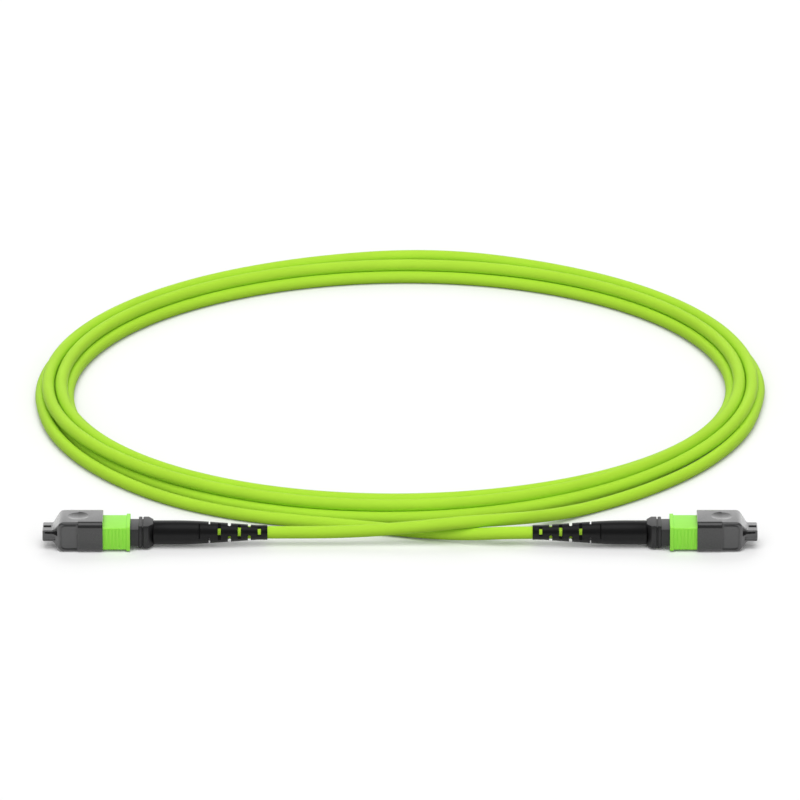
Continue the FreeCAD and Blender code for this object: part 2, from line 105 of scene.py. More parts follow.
class CableSettings(bpy.types.PropertyGroup):
    diameter: FloatProperty(
        name="Cable diameter", description="Outer diameter of the jacket", default=4.2 * MM,
        unit="LENGTH")
    strand_pitch: FloatProperty(
        name="Strand pitch", description="Distance between turns that lie side by side",
        default=4.6 * MM, unit="LENGTH")
    points_per_turn: IntProperty(
        name="Points per turn", description="Control points in one turn of the coil",
        default=36, min=12)
    colour: FloatVectorProperty(
        name="Jacket colour", description="Colour of the cable's jacket", subtype="COLOR",
        default=(0.438, 0.752, 0.046))


class MouldingSettings(bpy.types.PropertyGroup):
    sleeve_colour: FloatVectorProperty(
        name="Sleeve colour", description="Colour of the coupling sleeves", subtype="COLOR",
        default=(0.325, 0.850, 0.072))
    cap_colour: FloatVectorProperty(
        name="Cap colour", description="Colour of the dust caps", subtype="COLOR",
        default=(0.011, 0.011, 0.0112))
    cap_front_gain: FloatProperty(
        name="Cap front tone", description="How much lighter the cap is in front of its step",
        default=4.0, min=0.1)
    housing_colour: FloatVectorProperty(
        name="Housing colour", description="Colour of the inner housings and collars",
        subtype="COLOR", default=(0.012, 0.012, 0.0125))
    boot_colour: FloatVectorProperty(
        name="Boot colour", description="Colour of the strain relief boots", subtype="COLOR",
        default=(0.004, 0.004, 0.0042))
    edge_ease: FloatProperty(
        name="Edge ease", description="Rounding of the mouldings' outer edges",
        default=0.14 * MM, unit="LENGTH")


# -------- shader maths
class Socket:
    """A value in a node tree, so that shader maths is written as Python."""

    def __init__(self, finish, output):
        self.finish = finish
        self.output = output

    def math(self, operation, *values):
        return self.finish.node("ShaderNodeMath", {"operation": operation}, *values)

    def __add__(self, other):
        return self.math("ADD", self, other)

    def __sub__(self, other):
        return self.math("SUBTRACT", self, other)

    def __rsub__(self, other):
        return self.math("SUBTRACT", other, self)

    def __mul__(self, other):
        return self.math("MULTIPLY", self, other)

    __radd__ = __add__
    __rmul__ = __mul__


class Finish:
    """A procedural material, or a world, in the making."""

    def __init__(self, name, kind="materials", shader="Principled BSDF"):
        self.data = getattr(bpy.data, kind).new(name)
        self.data.use_nodes = True
        self.tree = self.data.node_tree
        self.shader = self.tree.nodes[shader]

    def rays(self, *kinds):
        """1 for rays of one of the kinds, else 0."""
        found = None
        for kind in kinds:
            ray = self.node("ShaderNodeLightPath", {}, out="Is " + kind + " Ray")
            found = ray if found is None else ray.math("MAXIMUM", found, ray)
        return found

    def node(self, kind, settings, *values, out=0, **named):
        """Adds a node with its settings first, then its sockets by order or by name."""
        made = self.tree.nodes.new(kind)
        for key, value in settings.items():
            setattr(made, key, value)
        self.put(made, [*enumerate(values), *named.items()])
        return Socket(self, made.outputs[out])

    def put(self, node, entries):
        """Sets or links a node's sockets, each by its number or by its name."""
        for key, value in entries:
            entry = node.inputs[key.replace("_", " ") if isinstance(key, str) else key]
            if isinstance(value, Socket):
                self.tree.links.new(value.output, entry)
            else:
                entry.default_value = value

    def set(self, **named):
        """Sets or links sockets of the closing shader."""
        self.put(self.shader, named.items())
        return self

    def place(self):
        return self.node("ShaderNodeTexCoord", {}, out="Object")

    def noise(self, scale, detail=2.0, vector=None):
        return self.node("ShaderNodeTexNoise", {}, out="Fac",
                         Vector=vector or self.place(), Scale=scale, Detail=detail)

    def blend(self, factor, first, second):
        """Colour that goes from first to second as the factor goes from 0 to 1."""
        made = self.tree.nodes.new("ShaderNodeMix")
        made.data_type = "RGBA"
        self.put(made, ((0, factor), (6, first), (7, second)))
        return Socket(self, made.outputs[2])

    def bumped(self, height, strength, distance):
        return self.node("ShaderNodeBump", {}, out="Normal", Height=height,
                         Strength=strength, Distance=distance)


def rgba(colour, gain=1.0):
    return (colour[0] * gain, colour[1] * gain, colour[2] * gain, 1.0)


def clouded(finish, colour, tone, gain=1.0, scale=160.0, detail=3.0):
    """The colour with a faint cloud in it, up to the tone darker and lighter."""
    cloud = finish.noise(scale, detail)
    return finish.blend(cloud, rgba(colour, (1 - tone) * gain), rgba(colour, (1 + tone) * gain))


def uneven(pattern, spread, middle):
    """Roughness that follows a pattern, spread evenly about its middle value."""
    return (pattern - 0.5) * spread + middle


def grained(name, roughness, grain=9000.0, specular=0.5):
    """A moulded surface with a fine eroded grain, still without its colour."""
    finish = Finish(name)
    speck = finish.noise(grain)
    return finish.set(Roughness=uneven(speck, 0.16, roughness), Specular_IOR_Level=specular,
                      Normal=finish.bumped(speck, strength=0.35, distance=0.02 * MM))


def moulded(name, colour, roughness, grain=9000.0, tone=0.06, specular=0.5):
    """Moulded plastic: even colour with a faint cloud in it and a fine eroded grain."""
    finish = grained(name, roughness, grain, specular)
    return finish.set(Base_Color=clouded(finish, colour, tone)).data


def cap_finish(colour, front_gain, step_x):
    """Glossy moulded plastic of the dust caps, a shade lighter in front of the step."""
    finish = grained("cap_plastic", roughness=0.27, grain=7000.0)
    along = finish.node("ShaderNodeSeparateXYZ", {}, finish.place(), out="X")
    front = finish.node("ShaderNodeMapRange", {}, Value=along.math("ABSOLUTE", along),
                        From_Min=step_x - 0.02 * MM, From_Max=step_x + 0.02 * MM)
    return finish.set(
        Base_Color=finish.blend(front, clouded(finish, colour, 0.08),
                                clouded(finish, colour, 0.05, front_gain)),
        Coat_Weight=1.0, Coat_Roughness=0.1, Coat_IOR=1.5).data


def wire_metal(name, colour, roughness):
    """A bright metal with fine drawn lines along the connector."""
    finish = Finish(name)
    drawn = finish.noise(5000.0, vector=finish.node("ShaderNodeMapping", {}, finish.place(),
                                                    Scale=(0.08, 1.0, 1.0)))
    return finish.set(
        Base_Color=finish.blend(drawn, rgba(colour, 0.9), rgba(colour, 1.05)), Metallic=1.0,
        Roughness=uneven(drawn, 0.15, roughness),
        Normal=finish.bumped(drawn, strength=0.2, distance=0.01 * MM)).data


# -------- modelling helpers
# The pieces of a connector are modelled in millimetres along X, with the boot's cable end at 0
# (a station is called u), and set_down puts them at both ends of the lead.
ACROSS = (0, math.pi / 2, 0)
PAST = 1.0                 # how far a cutter stands out of what it cuts
CHANNEL_DIAMETER = 1.27    # of the channels that hold the side springs


def select_only(obj):
    bpy.ops.object.select_all(action="DESELECT")
    obj.select_set(True)
    bpy.context.view_layer.objects.active = obj


def edit(obj, kind="FACE"):
    """Opens one object in edit mode with everything selected."""
    select_only(obj)
    bpy.ops.object.mode_set(mode="EDIT")
    bpy.ops.mesh.select_mode(type=kind)
    bpy.ops.mesh.select_all(action="SELECT")


def close():
    bpy.ops.object.mode_set(mode="OBJECT")


def primitive(kind, name, scale=(1, 1, 1), **settings):
    """Adds a primitive with nothing else selected, and applies its place and size."""
    bpy.ops.object.select_all(action="DESELECT")
    getattr(bpy.ops.mesh, "primitive_" + kind + "_add")(**settings)
    obj = bpy.context.object
    obj.name = name
    obj.scale = scale
    bpy.ops.object.transform_apply(location=True, rotation=True, scale=True)
    return obj


def point_outwards():
    bpy.ops.mesh.select_all(action="SELECT")
    bpy.ops.mesh.normals_make_consistent(inside=False)


def pick(obj, kind, wanted):
    """Selects the faces, edges or vertices that pass the test."""
    bpy.ops.mesh.select_all(action="DESELECT")
    mesh = bmesh.from_edit_mesh(obj.data)
    for item in getattr(mesh, kind):
        if wanted(item):
            item.select_set(True)
    bmesh.update_edit_mesh(obj.data)


def round_corners(radius, steps):
    """Rounds the selected corners of an outline, and leaves its whole face selected."""
    if radius > 0:
        bpy.ops.mesh.bevel(offset=radius, segments=steps, affect="VERTICES", clamp_overlap=False)
    bpy.ops.mesh.select_mode(type="FACE")
    bpy.ops.mesh.select_all(action="SELECT")


def lofted(name, stations, corner, steps=5, middle=0.0):
    """A rounded bar across the connector, drawn out from one station to the next.

    stations lists (u, width, height) or (u, width, height, middle)."""
    rows = [tuple(row) + (middle,) * (4 - len(row)) for row in stations]
    u, width, height, centre = rows[0]
    obj = primitive("plane", name, (height, width, 1), size=1, location=(u, 0, centre),
                    rotation=ACROSS)
    edit(obj, "VERT")
    round_corners(corner, steps)
    draw_out(rows)
    close()
    return obj


def turned(name, stations, sides=72, y=0.0):
    """A round bar along the connector; stations lists (u, diameter)."""
    u, diameter = stations[0]
    obj = primitive("circle", name, vertices=sides, radius=diameter / 2, fill_type="NGON",
                    location=(u, y, 0), rotation=ACROSS)
    edit(obj)
    draw_out([(u, d, d, 0) for u, d in stations], y)
    close()
    return obj


def draw_out(rows, y=0.0):
    """Extrudes the selected end face along the connector through the rows of sizes."""
    for before, row in zip(rows, rows[1:]):
        bpy.ops.mesh.extrude_region_move(
            TRANSFORM_OT_translate={"value": (row[0] - before[0], 0, row[3] - before[3])})
        bpy.ops.transform.resize(
            value=(1, row[1] / before[1], row[2] / before[2]),
            center_override=(row[0], y, row[3]))
    point_outwards()


def bar(name, first, last, size, corner, **named):
    """A straight rounded bar between two stations; size is (width, height)."""
    return lofted(name, [(first, *size), (last, *size)], corner, **named)


def rod(name, first, last, diameter, sides, y=0.0):
    """A straight round bar between two stations."""
    return turned(name, [(first, diameter), (last, diameter)], sides, y)


def channel(first, last, y):
    """The round hole for a side spring."""
    return rod("channel", first, last, CHANNEL_DIAMETER, sides=24, y=y)


def shifted(obj, y):
    """Moves a model sideways."""
    obj.location.y = y
    select_only(obj)
    bpy.ops.object.transform_apply(location=True)
    return obj


def eased(start, end, width, height, ease, middle=0.0, steps=3):
    """Stations of a bar whose end edges are rounded by ease."""
    quarter = [math.radians(90 * step / steps) for step in range(steps + 1)]
    edge = [(ease * (1 - math.cos(a)), ease * (1 - math.sin(a))) for a in quarter]
    rows = [(start + u, inset) for u, inset in edge] + [
        (end - u, inset) for u, inset in reversed(edge)]
    return [(u, width - 2 * inset, height - 2 * inset, middle) for u, inset in rows]


def combine(obj, others, operation="DIFFERENCE"):
    """Cuts the others from a piece, or joins them to it, and deletes them."""
    for other in others:
        change = obj.modifiers.new("cut", "BOOLEAN")
        change.operation = operation
        change.solver = "EXACT"
        change.object = other
        select_only(obj)
        bpy.ops.object.modifier_apply(modifier=change.name)
        bpy.data.objects.remove(other)
    return obj


def tidy(obj, angle):
    """Merges doubled points and shades smooth across every edge flatter than the angle."""
    edit(obj, "VERT")
    bpy.ops.mesh.remove_doubles(threshold=0.002)
    bpy.ops.mesh.dissolve_degenerate(threshold=0.001)
    close()
    select_only(obj)
    bpy.ops.object.shade_smooth_by_angle(angle=math.radians(angle))
    return obj


def set_down(model, piece, body, material, mirrored=False, replaces=True):
    """Places a copy of a connector piece at each end of the lead, and removes the model."""
    for end, side in ENDS:
        obj = model.copy()
        obj.data = model.data.copy()
        obj.name = obj.data.name = piece + "_" + end + "_finish"
        bpy.context.collection.objects.link(obj)
        obj.scale = (MM * (side if mirrored else 1), MM, MM)
        obj.rotation_euler = (0, 0, 0 if mirrored or side > 0 else math.pi)
        obj.location = (side * BOOT_MOUTH_X, 0, PLUG_AXIS_Z)
        select_only(obj)
        bpy.ops.object.transform_apply(location=True, rotation=True, scale=True)
        if side < 0 and mirrored:
            edit(obj)
            point_outwards()
            close()
        obj.data.materials.clear()
        obj.data.materials.append(material)
        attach(obj, body.format(end=end))
        if replaces:
            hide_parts(piece + "_" + end)
    bpy.data.objects.remove(model)


def refinish(nodes, material):
    """Gives CAD nodes that keep their shape a better material, at both ends."""
    for node in nodes:
        for end, _ in ENDS:
            slots = frame["nodes"][node + "_" + end].data.materials
            slots.clear()
            slots.append(material)


# -------- cable
LEFT_ROUTE = [
    (-72.8, 0, 4.615), (-34, 0, 4.615), (-20, 0.1, 4.715), (-6, 0.3, 5.4), (8, 0.5, 6.6),
    (21, 1.4, 7.7), (32, 5.4, 6.9), (45, 14.8, 4.3), (59, 26.2, 2.1), (74, 37.4, 2.1),
    (87, 50.1, 2.1), (99, 65.0, 2.1), (109, 82.4, 2.1), (116.5, 101.3, 2.1), (120.5, 120.9, 2.1)]
RIGHT_ROUTE = [
    (72.8, 0, 4.615), (36, 0, 4.615), (25, 1.1, 3.5), (13, 4.4, 2.5), (-2, 9.0, 2.1),
    (-18, 13.2, 2.1), (-33, 17.0, 2.1), (-48, 21.0, 2.1), (-62, 27.2, 2.1), (-76, 36.2, 2.1),
    (-89, 48.6, 2.1), (-100.5, 63.4, 2.1), (-110, 80.2, 2.1), (-117, 98.6, 2.1),
    (-120.8, 117.6, 2.1)]
# Slot of each pass of the cable at the coil's right side and at its left side: three lie on
# the floor (bo outside, bm, bi inside) and two in the valleys above them (to, ti). In front
# there are four: bo and bh on the floor, to and ti on top of them.
RIGHT_SIDE = ("bo", "to", "ti", "bi", "bm")
LEFT_SIDE = ("bm", "to", "ti", "bi", "bo")
FRONT = ("bo", "to", "ti", "bh")
COIL_LEAN = 0.02     # how far the hand-wound coil departs from round, as a slope of y on x
SETTLE_ROUNDS = 400
SETTLE_PULL = 0.06         # share of the way back to its slot that a point goes in a round
SETTLE_SMOOTHING = 0.25    # share of the way to its neighbours' middle that it goes


def coil_slots(diameter, pitch, outer):
    """Radius and height of each slot of the coil's cross-section, in metres."""
    floor = diameter / 2
    above = floor + math.sqrt(diameter ** 2 - (pitch / 2) ** 2)
    return {name: (outer - pitches * pitch, height) for name, pitches, height in (
        ("bo", 0, floor), ("bm", 1, floor), ("bi", 2, floor), ("bh", 1.5, floor),
        ("to", 0.5, above), ("ti", 1.5, above))}


def coil_points(diameter, pitch, outer, centre_y, per_turn):
    """Centre line of the coil, from the right side round the back, in metres."""
    slots = coil_slots(diameter, pitch, outer)
    half = per_turn // 2
    keys = []
    for number, (right, left) in enumerate(zip(RIGHT_SIDE, LEFT_SIDE)):
        keys += [(2 * number * half, slots[right]), ((2 * number + 1) * half, slots[left])]
        if number < len(FRONT):
            keys.append(((2 * number + 1.5) * half, slots[FRONT[number]]))
    count = (2 * len(RIGHT_SIDE) - 1) * half + 1
    steps = np.arange(count)
    wanted = np.empty((count, 2))
    for (first, a), (last, b) in zip(keys, keys[1:]):
        inside = (steps >= first) & (steps <= last)
        part = (steps[inside] - first) / (last - first)
        part = part * part * (3 - 2 * part)
        wanted[inside] = np.outer(1 - part, a) + np.outer(part, b)
    line = settle(wanted, diameter, per_turn)
    turn = 2 * math.pi / per_turn
    angle = steps * turn
    radius = line[:, 0] / math.cos(turn / 2)
    return [(r * math.cos(a), centre_y + r * (math.sin(a) + COIL_LEAN * math.cos(a)), z)
            for r, a, z in zip(radius, angle, line[:, 1])]


def settle(wanted, diameter, per_turn):
    """Moves the passes apart wherever two of them would share a place, and keeps them smooth."""
    line = wanted.copy()
    for _ in range(SETTLE_ROUNDS):
        line += SETTLE_PULL * (wanted - line)
        line[1:-1] += SETTLE_SMOOTHING * (line[:-2] + line[2:] - 2 * line[1:-1])
        for lag in range(per_turn, len(line), per_turn):
            gap = line[lag:] - line[:-lag]
            distance = np.maximum(np.linalg.norm(gap, axis=1, keepdims=True), 1e-6)
            push = np.maximum(diameter - distance, 0) / 2 * gap / distance
            line[:-lag] -= push
            line[lag:] += push
        line[:, 1] = np.maximum(line[:, 1], diameter / 2)
    return line


class PATCHLEAD_OT_cable(bpy.types.Operator):
    """Lays the cable from one connector to the other, with its coil"""
    bl_idname = "patchlead.cable"
    bl_label = "Cable"

    def execute(self, context):
        size = context.scene.patch_cable
        low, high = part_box("cable_coil")
        outer = (high.x - low.x) / 2 - size.diameter / 2
        coil = coil_points(size.diameter, size.strand_pitch, outer, (low.y + high.y) / 2,
                           size.points_per_turn)
        route = [tuple(v * MM for v in p) for p in LEFT_ROUTE] + coil + [
            tuple(v * MM for v in p) for p in reversed(RIGHT_ROUTE)]
        curve = bpy.data.curves.new("fibre_cable", "CURVE")
        curve.dimensions = "3D"
        curve.resolution_u = 8
        curve.bevel_depth = size.diameter / 2
        curve.bevel_resolution = 10
        curve.use_fill_caps = True
        spline = curve.splines.new("NURBS")
        spline.points.add(len(route) - 1)
        for point, place in zip(spline.points, route):
            point.co = (*place, 1.0)
        spline.order_u = 3
        spline.use_endpoint_u = True
        cable = bpy.data.objects.new("fibre_cable", curve)
        context.collection.objects.link(cable)
        curve.materials.append(jacket_finish(size.colour))
        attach(cable, "lead")
        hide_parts("cable_lead_left", "cable_coil", "cable_lead_right")
        return {"FINISHED"}


def jacket_finish(colour):
    """Extruded jacket: satin, with a faint unevenness of colour and surface."""
    finish = Finish("cable_jacket")
    ripple = finish.noise(420.0, 3.0)
    return finish.set(
        Base_Color=clouded(finish, colour, 0.06, scale=45.0, detail=2.0),
        Roughness=uneven(ripple, 0.12, 0.5), Specular_IOR_Level=0.06,
        Normal=finish.bumped(ripple, strength=0.12, distance=0.05 * MM)).data


# -------- dust caps
def rounded_outline(corners, steps=7):
    """Points (u, half size) of an outline with its (u, half size, radius) corners rounded."""
    points = [corners[0][:2]]
    for before, (u, half, radius), after in zip(corners, corners[1:], corners[2:]):
        corner = Vector((u, half))
        back = (Vector(before[:2]) - corner).normalized()
        ahead = (Vector(after[:2]) - corner).normalized()
        opening = back.angle(ahead) / 2
        centre = corner + (back + ahead).normalized() * (radius / math.sin(opening))
        first, last = (corner + way * (radius / math.tan(opening)) - centre
                       for way in (back, ahead))
        sweep = first.angle_signed(last)
        for step in range(steps + 1):
            turn = Matrix.Rotation(-sweep * step / steps, 2)
            points.append(tuple(centre + turn @ first))
    points.append(corners[-1][:2])
    return points


class PATCHLEAD_OT_dust_caps(bpy.types.Operator):
    """Models the dust caps with their grip tabs"""
    bl_idname = "patchlead.dust_caps"
    bl_label = "Dust caps"

    # Places along the cap are counted from its mouth.
    rear_length = 8.3
    rear_ease = 0.22
    side_step = 0.8
    top_step = 0.1
    front_overlap = 1.0
    # Where the shoulders start, where they meet the tab, and how round they start.
    tall_shoulders = (13.9, 16.6, 2.2)
    wide_shoulders = (14.3, 16.3, 1.4)
    root_bend = 0.8
    tip_bend = 0.5
    shortest_section = 0.03
    tab_width = 8.2
    tab_height = 3.8
    tab_rise = 0.245
    tab_end_wall = 0.75
    # Slot on top of the tab: where it starts and ends behind the tip, width and height.
    slot_reach = (2.9, 0.3)
    slot_size = (1.9, 2.2)
    # Groove in the tab's sides: its start and bend, its floor there and at its end, its top at
    # the start, and how far below the tab's top it then runs.
    groove_reach = (15.0, 16.55)
    groove_floor = (0.7, 0.95, 1.15)
    groove_top = 3.75
    groove_cover = 0.4
    groove_depth = 1.3
    # Pocket in the tab's sides, below the groove.
    pocket_start = 15.7
    pocket_foot = 0.55
    pocket_top = 0.1
    pocket_depth = 0.3
    # Flat panel on each side, and the line round it.
    panel_start = 0.12
    panel_end = 13.95
    panel_bend = 1.5
    panel_margin = 1.7
    line_width = 0.42
    line_depth = 0.55
    island_depth = 1.0
    # Dish for a fingertip, on top and below.
    dish_depth = 0.55
    dish_width = 7.2
    # Width and height of each hollow: at the mouth, round the sleeve, round the nose of the
    # housing (with its middle), and in front of that.
    mouth_size = (13.1, 8.4)
    grip_size = (12.5, 7.8)
    nose_size = (10.8, 7.2, 0.4)
    end_size = (7.8, 3.7)
    flare_length = 0.3
    sleeve_room = 0.4
    nose_room = 0.6
    end_length = 2.9

    def front(self, mouth, tip, width, height, middle):
        """Front block, lofted through its shoulders to the grip tab."""
        half = height / 2 - self.top_step
        half_tab = self.tab_height / 2
        start = mouth + self.rear_length - self.front_overlap

        def profile(reach, tab_reach, shoulders):
            shoulder, root, bend = shoulders
            corners = [(start, reach, 0), (mouth + shoulder, reach, bend),
                       (mouth + root, tab_reach, self.root_bend),
                       (tip, tab_reach, self.tip_bend), (tip, 0, 0)]
            return np.array(rounded_outline(corners)[:-1])
        upper = profile(middle + half, self.tab_rise + half_tab, self.tall_shoulders)
        lower = profile(half - middle, half_tab - self.tab_rise, self.tall_shoulders)
        plan = profile(width / 2 - self.side_step, self.tab_width / 2, self.wide_shoulders)
        places = sorted({round(u, 3) for u, _ in [*upper, *plan]})
        kept = [places[0]]
        for place in places[1:]:
            if place - kept[-1] > self.shortest_section:
                kept.append(place)
        kept[-1] = places[-1]
        rows = []
        for u in kept:
            top, below, side = (np.interp(u, *line.T) for line in (upper, lower, plan))
            rows.append((u, 2 * side, top + below, (top - below) / 2))
        return lofted("cap_front", rows, corner=0.8, steps=8)

    def aside(self, name, stations, reach, side, corner=0.0):
        """A thick bar that stands out from reach to one side; stations lists (u, foot, top)."""
        thickness = 6.0
        obj = lofted(name, [(u, thickness, top - foot, (top + foot) / 2)
                            for u, foot, top in stations], corner)
        return shifted(obj, side * (reach + thickness / 2))

    def tab_cutters(self, mouth, tip):
        """Slot on top of the tab, and the groove and the pocket in both of its sides."""
        high = self.tab_rise + self.tab_height / 2
        reach = self.tab_width / 2
        wall = tip - self.tab_end_wall
        cover = high - self.groove_cover
        foot = self.tab_rise - self.tab_height / 2 + self.pocket_foot
        slot_start, slot_end = self.slot_reach
        groove_start, groove_bend = self.groove_reach
        groove = [*zip((mouth + groove_start, mouth + groove_bend, wall), self.groove_floor,
                       (self.groove_top, cover, cover))]
        pocket = [(mouth + self.pocket_start, foot, self.pocket_top), (wall, foot, 0.0)]
        cutters = [bar("tab_slot", tip - slot_start, tip - slot_end, self.slot_size,
                       corner=0.12, middle=high)]
        for side in (-1, 1):
            cutters.append(self.aside("tab_groove", groove, reach - self.groove_depth, side))
            cutters.append(self.aside("tab_pocket", pocket, reach - self.pocket_depth, side,
                                      corner=0.15))
        return cutters

    def panel_line(self, mouth, width, height, middle):
        """Fine groove round the flat panel on each side of the front block."""
        skin = width / 2 - self.side_step
        cutters = []
        for side in (-1, 1):
            slabs = []
            for inset, depth in ((0.0, self.line_depth), (self.line_width, self.island_depth)):
                first = mouth + self.rear_length + self.panel_start + inset
                last = mouth + self.panel_end - inset
                tall = height - 2 * self.top_step - self.panel_margin - 2 * inset
                centre = (first + last) / 2
                slab = primitive("plane", "panel", (last - first, tall, 1), size=1,
                                 location=(centre, 0, middle), rotation=(math.pi / 2, 0, 0))
                edit(slab, "VERT")
                pick(slab, "verts", lambda v: v.co.x > centre)
                round_corners(self.panel_bend - inset, steps=6)
                bpy.ops.transform.translate(value=(0, side * (skin - depth), 0))
                bpy.ops.mesh.extrude_region_move(
                    TRANSFORM_OT_translate={"value": (0, side * 2.0, 0)})
                point_outwards()
                close()
                slabs.append(slab)
            cutters.append(combine(slabs[0], slabs[1:]))
        return cutters

    def dish(self, centre_u, skin, side):
        """Ball whose edge leaves a round dish for a fingertip in the cap's top or bottom."""
        depth = self.dish_depth
        radius = (self.dish_width ** 2 / 4 + depth ** 2) / (2 * depth)
        return primitive("uv_sphere", "dish", segments=128, ring_count=96, radius=radius,
                         location=(centre_u, 0, skin + side * (radius - depth)))

    def execute(self, context):
        style = context.scene.patch_mouldings
        mouth, tip, width, height = span("dust_cap")
        _, sleeve_end, _, _ = span("coupling_sleeve")
        _, nose, _, _ = span("inner_housing")
        low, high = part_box("dust_cap_right")
        middle = ((low.z + high.z) / 2 - PLUG_AXIS_Z) / MM
        rear_end = mouth + self.rear_length
        rows = eased(mouth, rear_end, width, height, self.rear_ease, middle)
        cap = lofted("dust_cap", rows, corner=2.0, steps=10)
        front = self.front(mouth, tip, width, height, middle)
        combine(front, self.panel_line(mouth, width, height, middle))
        cap = combine(cap, [front], "UNION")
        hollows = [
            lofted("grip", [(mouth - PAST, *self.mouth_size), (mouth, *self.mouth_size),
                            (mouth + self.flare_length, *self.grip_size),
                            (sleeve_end + self.sleeve_room, *self.grip_size)], corner=0.8),
            bar("nose_room", sleeve_end, nose + self.nose_room, self.nose_size, corner=0.5),
            bar("end_pocket", nose, nose + self.end_length, self.end_size, corner=0.5)]
        dishes = [self.dish(rear_end, middle + side * height / 2, side) for side in (1, -1)]
        combine(cap, hollows + self.tab_cutters(mouth, tip) + dishes)
        tidy(cap, 14.0)
        set_down(cap, "dust_cap", "cap_{end}",
                 cap_finish(style.cap_colour, style.cap_front_gain,
                            BOOT_MOUTH_X + rear_end * MM))
        return {"FINISHED"}


# -------- coupling sleeves
class PATCHLEAD_OT_sleeves(bpy.types.Operator):
    """Models the coupling sleeves with their lips and grip grooves"""
    bl_idname = "patchlead.sleeves"
    bl_label = "Coupling sleeves"

    lip_length = 1.25
    lip_stand = 0.38
    groove_count = 9
    groove_pitch = 1.18
    groove_first = 1.15
    groove_width = 0.42
    groove_draft = 0.1
    groove_depth = 0.14
    bore_size = (10.32, 5.92)
    channel_y = 5.1

    def execute(self, context):
        style = context.scene.patch_mouldings
        ease = style.edge_ease / MM
        start, end, lip_width, lip_height = span("coupling_sleeve")
        width = lip_width - 2 * self.lip_stand
        height = lip_height - 2 * self.lip_stand
        lip_end = start + self.lip_length
        rows = eased(start, lip_end, lip_width, lip_height, ease)
        rows.append((lip_end, width, height, 0))
        grooves = []
        for index in range(self.groove_count):
            centre = lip_end + self.groove_first + index * self.groove_pitch
            grooves.append(centre)
            rows.append((centre - self.groove_width / 2, width, height, 0))
            rows.append((centre + self.groove_width / 2, width, height, 0))
        last_rib = eased(grooves[-1], end, width, height, ease)
        rows += last_rib[len(last_rib) // 2:]
        sleeve = lofted("coupling_sleeve", rows, corner=0.4, steps=4)
        edit(sleeve)
        pick(sleeve, "faces", lambda f: abs(f.normal.y) > 0.999 and any(
            abs(f.calc_center_median().x - g) < 0.05 for g in grooves))
        bpy.ops.mesh.inset(thickness=self.groove_draft, depth=-self.groove_depth,
                           use_individual=True)
        close()
        bore = bar("bore", start - PAST, end + PAST, self.bore_size, corner=0.56)
        _, springs_end, _, _ = span("sleeve_springs")
        channels = [channel(start - PAST, springs_end, y)
                    for y in (-self.channel_y, self.channel_y)]
        combine(sleeve, [bore] + channels)
        tidy(sleeve, 30.0)
        set_down(sleeve, "coupling_sleeve", "sleeve_{end}",
                 moulded("sleeve_plastic", style.sleeve_colour, 0.45, grain=6000.0, specular=0.3))
        return {"FINISHED"}


# -------- collars and housings
class PATCHLEAD_OT_rear_bodies(bpy.types.Operator):
    """Models the collars behind the sleeves, with their crimp posts"""
    bl_idname = "patchlead.rear_bodies"
    bl_label = "Rear bodies"

    collar_length = 3.35
    collar_taper = 4.4
    taper_length = 1.6
    flange_length = 1.15
    waist_inset = 1.2
    spigot_size = (7.5, 3.6)
    post_diameter = 4.2
    post_chamfer = 0.1
    fibre_way = 3.3

    def execute(self, context):
        style = context.scene.patch_mouldings
        post_end, spigot_end, width, height = span("rear_body")
        neck, _, _, _ = span("inner_housing")
        _, boot_end, _, _ = span("strain_relief_boot")
        e = style.edge_ease / MM
        collar_end = boot_end + self.collar_length
        flange = neck - self.flange_length
        tail = width - self.collar_taper
        full = (width, height)
        blunt = (width - 2 * e, height - 2 * e)
        waist = (width - self.waist_inset, height - self.waist_inset)
        rows = [(boot_end, tail - 2 * e, height - 2 * e), (boot_end + e, tail, height),
                (boot_end + self.taper_length, *full), (collar_end - e, *full),
                (collar_end, *blunt), (collar_end, *waist), (flange, *waist), (flange, *blunt),
                (flange + e, *full), (neck - e, *full), (neck, *blunt),
                (neck, *self.spigot_size), (spigot_end, *self.spigot_size)]
        body = lofted("rear_body", rows, corner=0.24, steps=3)
        post = turned("post", [(post_end, self.post_diameter - 2 * self.post_chamfer),
                               (post_end + self.post_chamfer, self.post_diameter),
                               (boot_end + PAST, self.post_diameter)], 48)
        combine(body, [post], "UNION")
        combine(body, [rod("fibre_way", post_end - PAST, spigot_end + PAST, self.fibre_way,
                           sides=48)])
        tidy(body, 28.0)
        set_down(body, "rear_body", "lead",
                 moulded("collar_plastic", style.housing_colour, 0.40, grain=7000.0))
        return {"FINISHED"}


